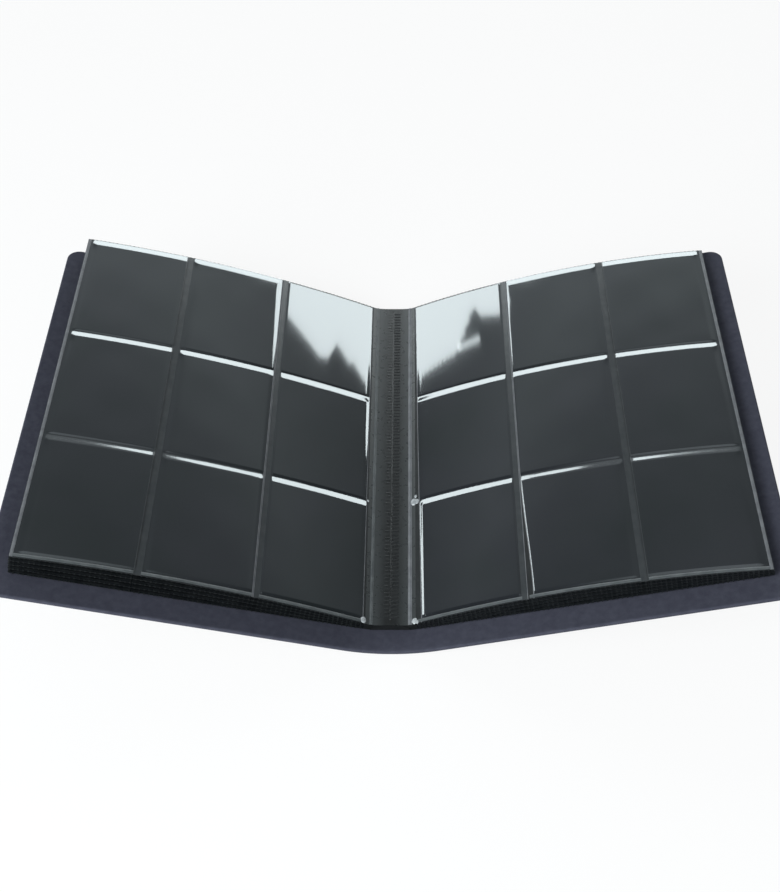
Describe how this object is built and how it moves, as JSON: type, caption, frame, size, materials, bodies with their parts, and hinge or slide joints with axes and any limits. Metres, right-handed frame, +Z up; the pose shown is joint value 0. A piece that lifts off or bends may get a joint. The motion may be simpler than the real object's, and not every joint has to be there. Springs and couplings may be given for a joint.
{
  "type": "trading card album",
  "caption": "Fixed-page trading card album, open in a shallow V: stiff dark covers hinged on a flat spine, with welded black leaves of clear side-loading card pockets that turn.",
  "frame": {"origin": "centre of the spine's flat bottom, where the album stands", "axes": "+X towards the back cover's fore-edge, +Y along the spine away from the reader, +Z up"},
  "size_m": [0.4758, 0.311, 0.0762],
  "materials": {
    "cover_leatherette": "fine-grained dark navy leatherette, satin",
    "cover_board": "grey board, sealed inside the cover",
    "cover_liner": "fine-grained dark navy lining, satin",
    "black_sheet": "matt black plastic sheet",
    "clear_film": "clear glossy plastic film, welded in bright ribbed lines",
    "weld_bead": "ribbed clear weld"
  },
  "bodies": {
    "spine": {"spine_skin": "cover_leatherette", "spine_board": "cover_board", "spine_liner": "cover_liner", "binding_pad": "black_sheet", "gutter_strip_1": "black_sheet", "gutter_strip_2": "black_sheet", "gutter_strip_3": "black_sheet", "gutter_strip_4": "black_sheet", "gutter_strip_5": "black_sheet", "centre_weld_bead": "weld_bead"},
    "front_cover": {"front_cover_skin": "cover_leatherette", "front_cover_board": "cover_board", "front_cover_liner": "cover_liner"},
    "back_cover": {"back_cover_skin": "cover_leatherette", "back_cover_board": "cover_board", "back_cover_liner": "cover_liner"},
    "leaf_left_1": {"leaf_left_1_core": "black_sheet", "leaf_left_1_upper_film": "clear_film", "leaf_left_1_under_film": "clear_film"},
    "leaf_left_2": {"leaf_left_2_core": "black_sheet", "leaf_left_2_upper_film": "clear_film", "leaf_left_2_under_film": "clear_film"},
    "leaf_left_3": {"leaf_left_3_core": "black_sheet", "leaf_left_3_upper_film": "clear_film", "leaf_left_3_under_film": "clear_film"},
    "leaf_left_4": {"leaf_left_4_core": "black_sheet", "leaf_left_4_upper_film": "clear_film", "leaf_left_4_under_film": "clear_film"},
    "leaf_left_5": {"leaf_left_5_core": "black_sheet", "leaf_left_5_upper_film": "clear_film", "leaf_left_5_under_film": "clear_film"},
    "leaf_right_1": {"leaf_right_1_core": "black_sheet", "leaf_right_1_upper_film": "clear_film", "leaf_right_1_under_film": "clear_film"},
    "leaf_right_2": {"leaf_right_2_core": "black_sheet", "leaf_right_2_upper_film": "clear_film", "leaf_right_2_under_film": "clear_film"},
    "leaf_right_3": {"leaf_right_3_core": "black_sheet", "leaf_right_3_upper_film": "clear_film", "leaf_right_3_under_film": "clear_film"},
    "leaf_right_4": {"leaf_right_4_core": "black_sheet", "leaf_right_4_upper_film": "clear_film", "leaf_right_4_under_film": "clear_film"},
    "leaf_right_5": {"leaf_right_5_core": "black_sheet", "leaf_right_5_upper_film": "clear_film", "leaf_right_5_under_film": "clear_film"}
  },
  "joints": [
    {"name": "front_cover_hinge", "type": "hinge", "parent": "spine", "child": "front_cover", "pos_m": [-0.01504, 0, 0.003], "axis": [0, -1, 0], "range_deg": [-73, 15]},
    {"name": "back_cover_hinge", "type": "hinge", "parent": "spine", "child": "back_cover", "pos_m": [0.01504, 0, 0.003], "axis": [0, 1, 0], "range_deg": [-73, 15]},
    {"name": "leaf_left_1_turn", "type": "hinge", "parent": "spine", "child": "leaf_left_1", "pos_m": [-0.013, 0.005, 0.00445], "axis": [0, -1, 0], "range_deg": [-73, 15]},
    {"name": "leaf_left_2_turn", "type": "hinge", "parent": "spine", "child": "leaf_left_2", "pos_m": [-0.012, 0.005, 0.00545], "axis": [0, -1, 0], "range_deg": [-73, 15]},
    {"name": "leaf_left_3_turn", "type": "hinge", "parent": "spine", "child": "leaf_left_3", "pos_m": [-0.011, 0.005, 0.00645], "axis": [0, -1, 0], "range_deg": [-73, 15]},
    {"name": "leaf_left_4_turn", "type": "hinge", "parent": "leaf_left_3", "child": "leaf_left_4", "pos_m": [-0.011, 0.005, 0.00745], "axis": [0, 1, 0], "range_deg": [0, 8]},
    {"name": "leaf_left_5_turn", "type": "hinge", "parent": "leaf_left_4", "child": "leaf_left_5", "pos_m": [-0.011, 0.005, 0.00845], "axis": [0, 1, 0], "range_deg": [0, 135]},
    {"name": "leaf_right_1_turn", "type": "hinge", "parent": "spine", "child": "leaf_right_1", "pos_m": [0.013, 0.005, 0.00445], "axis": [0, 1, 0], "range_deg": [-73, 15]},
    {"name": "leaf_right_2_turn", "type": "hinge", "parent": "spine", "child": "leaf_right_2", "pos_m": [0.012, 0.005, 0.00545], "axis": [0, 1, 0], "range_deg": [-73, 15]},
    {"name": "leaf_right_3_turn", "type": "hinge", "parent": "spine", "child": "leaf_right_3", "pos_m": [0.011, 0.005, 0.00645], "axis": [0, 1, 0], "range_deg": [-73, 15]},
    {"name": "leaf_right_4_turn", "type": "hinge", "parent": "leaf_right_3", "child": "leaf_right_4", "pos_m": [0.011, 0.005, 0.00745], "axis": [0, -1, 0], "range_deg": [0, 6]},
    {"name": "leaf_right_5_turn", "type": "hinge", "parent": "leaf_right_4", "child": "leaf_right_5", "pos_m": [0.011, 0.005, 0.00845], "axis": [0, -1, 0], "range_deg": [0, 20]}
  ],
  "couplings": [
    {"joint": "leaf_left_1_turn", "follows": "front_cover_hinge", "ratio": 1},
    {"joint": "leaf_left_2_turn", "follows": "front_cover_hinge", "ratio": 1},
    {"joint": "leaf_left_3_turn", "follows": "front_cover_hinge", "ratio": 1},
    {"joint": "leaf_right_1_turn", "follows": "back_cover_hinge", "ratio": 1},
    {"joint": "leaf_right_2_turn", "follows": "back_cover_hinge", "ratio": 1},
    {"joint": "leaf_right_3_turn", "follows": "back_cover_hinge", "ratio": 1}
  ]
}
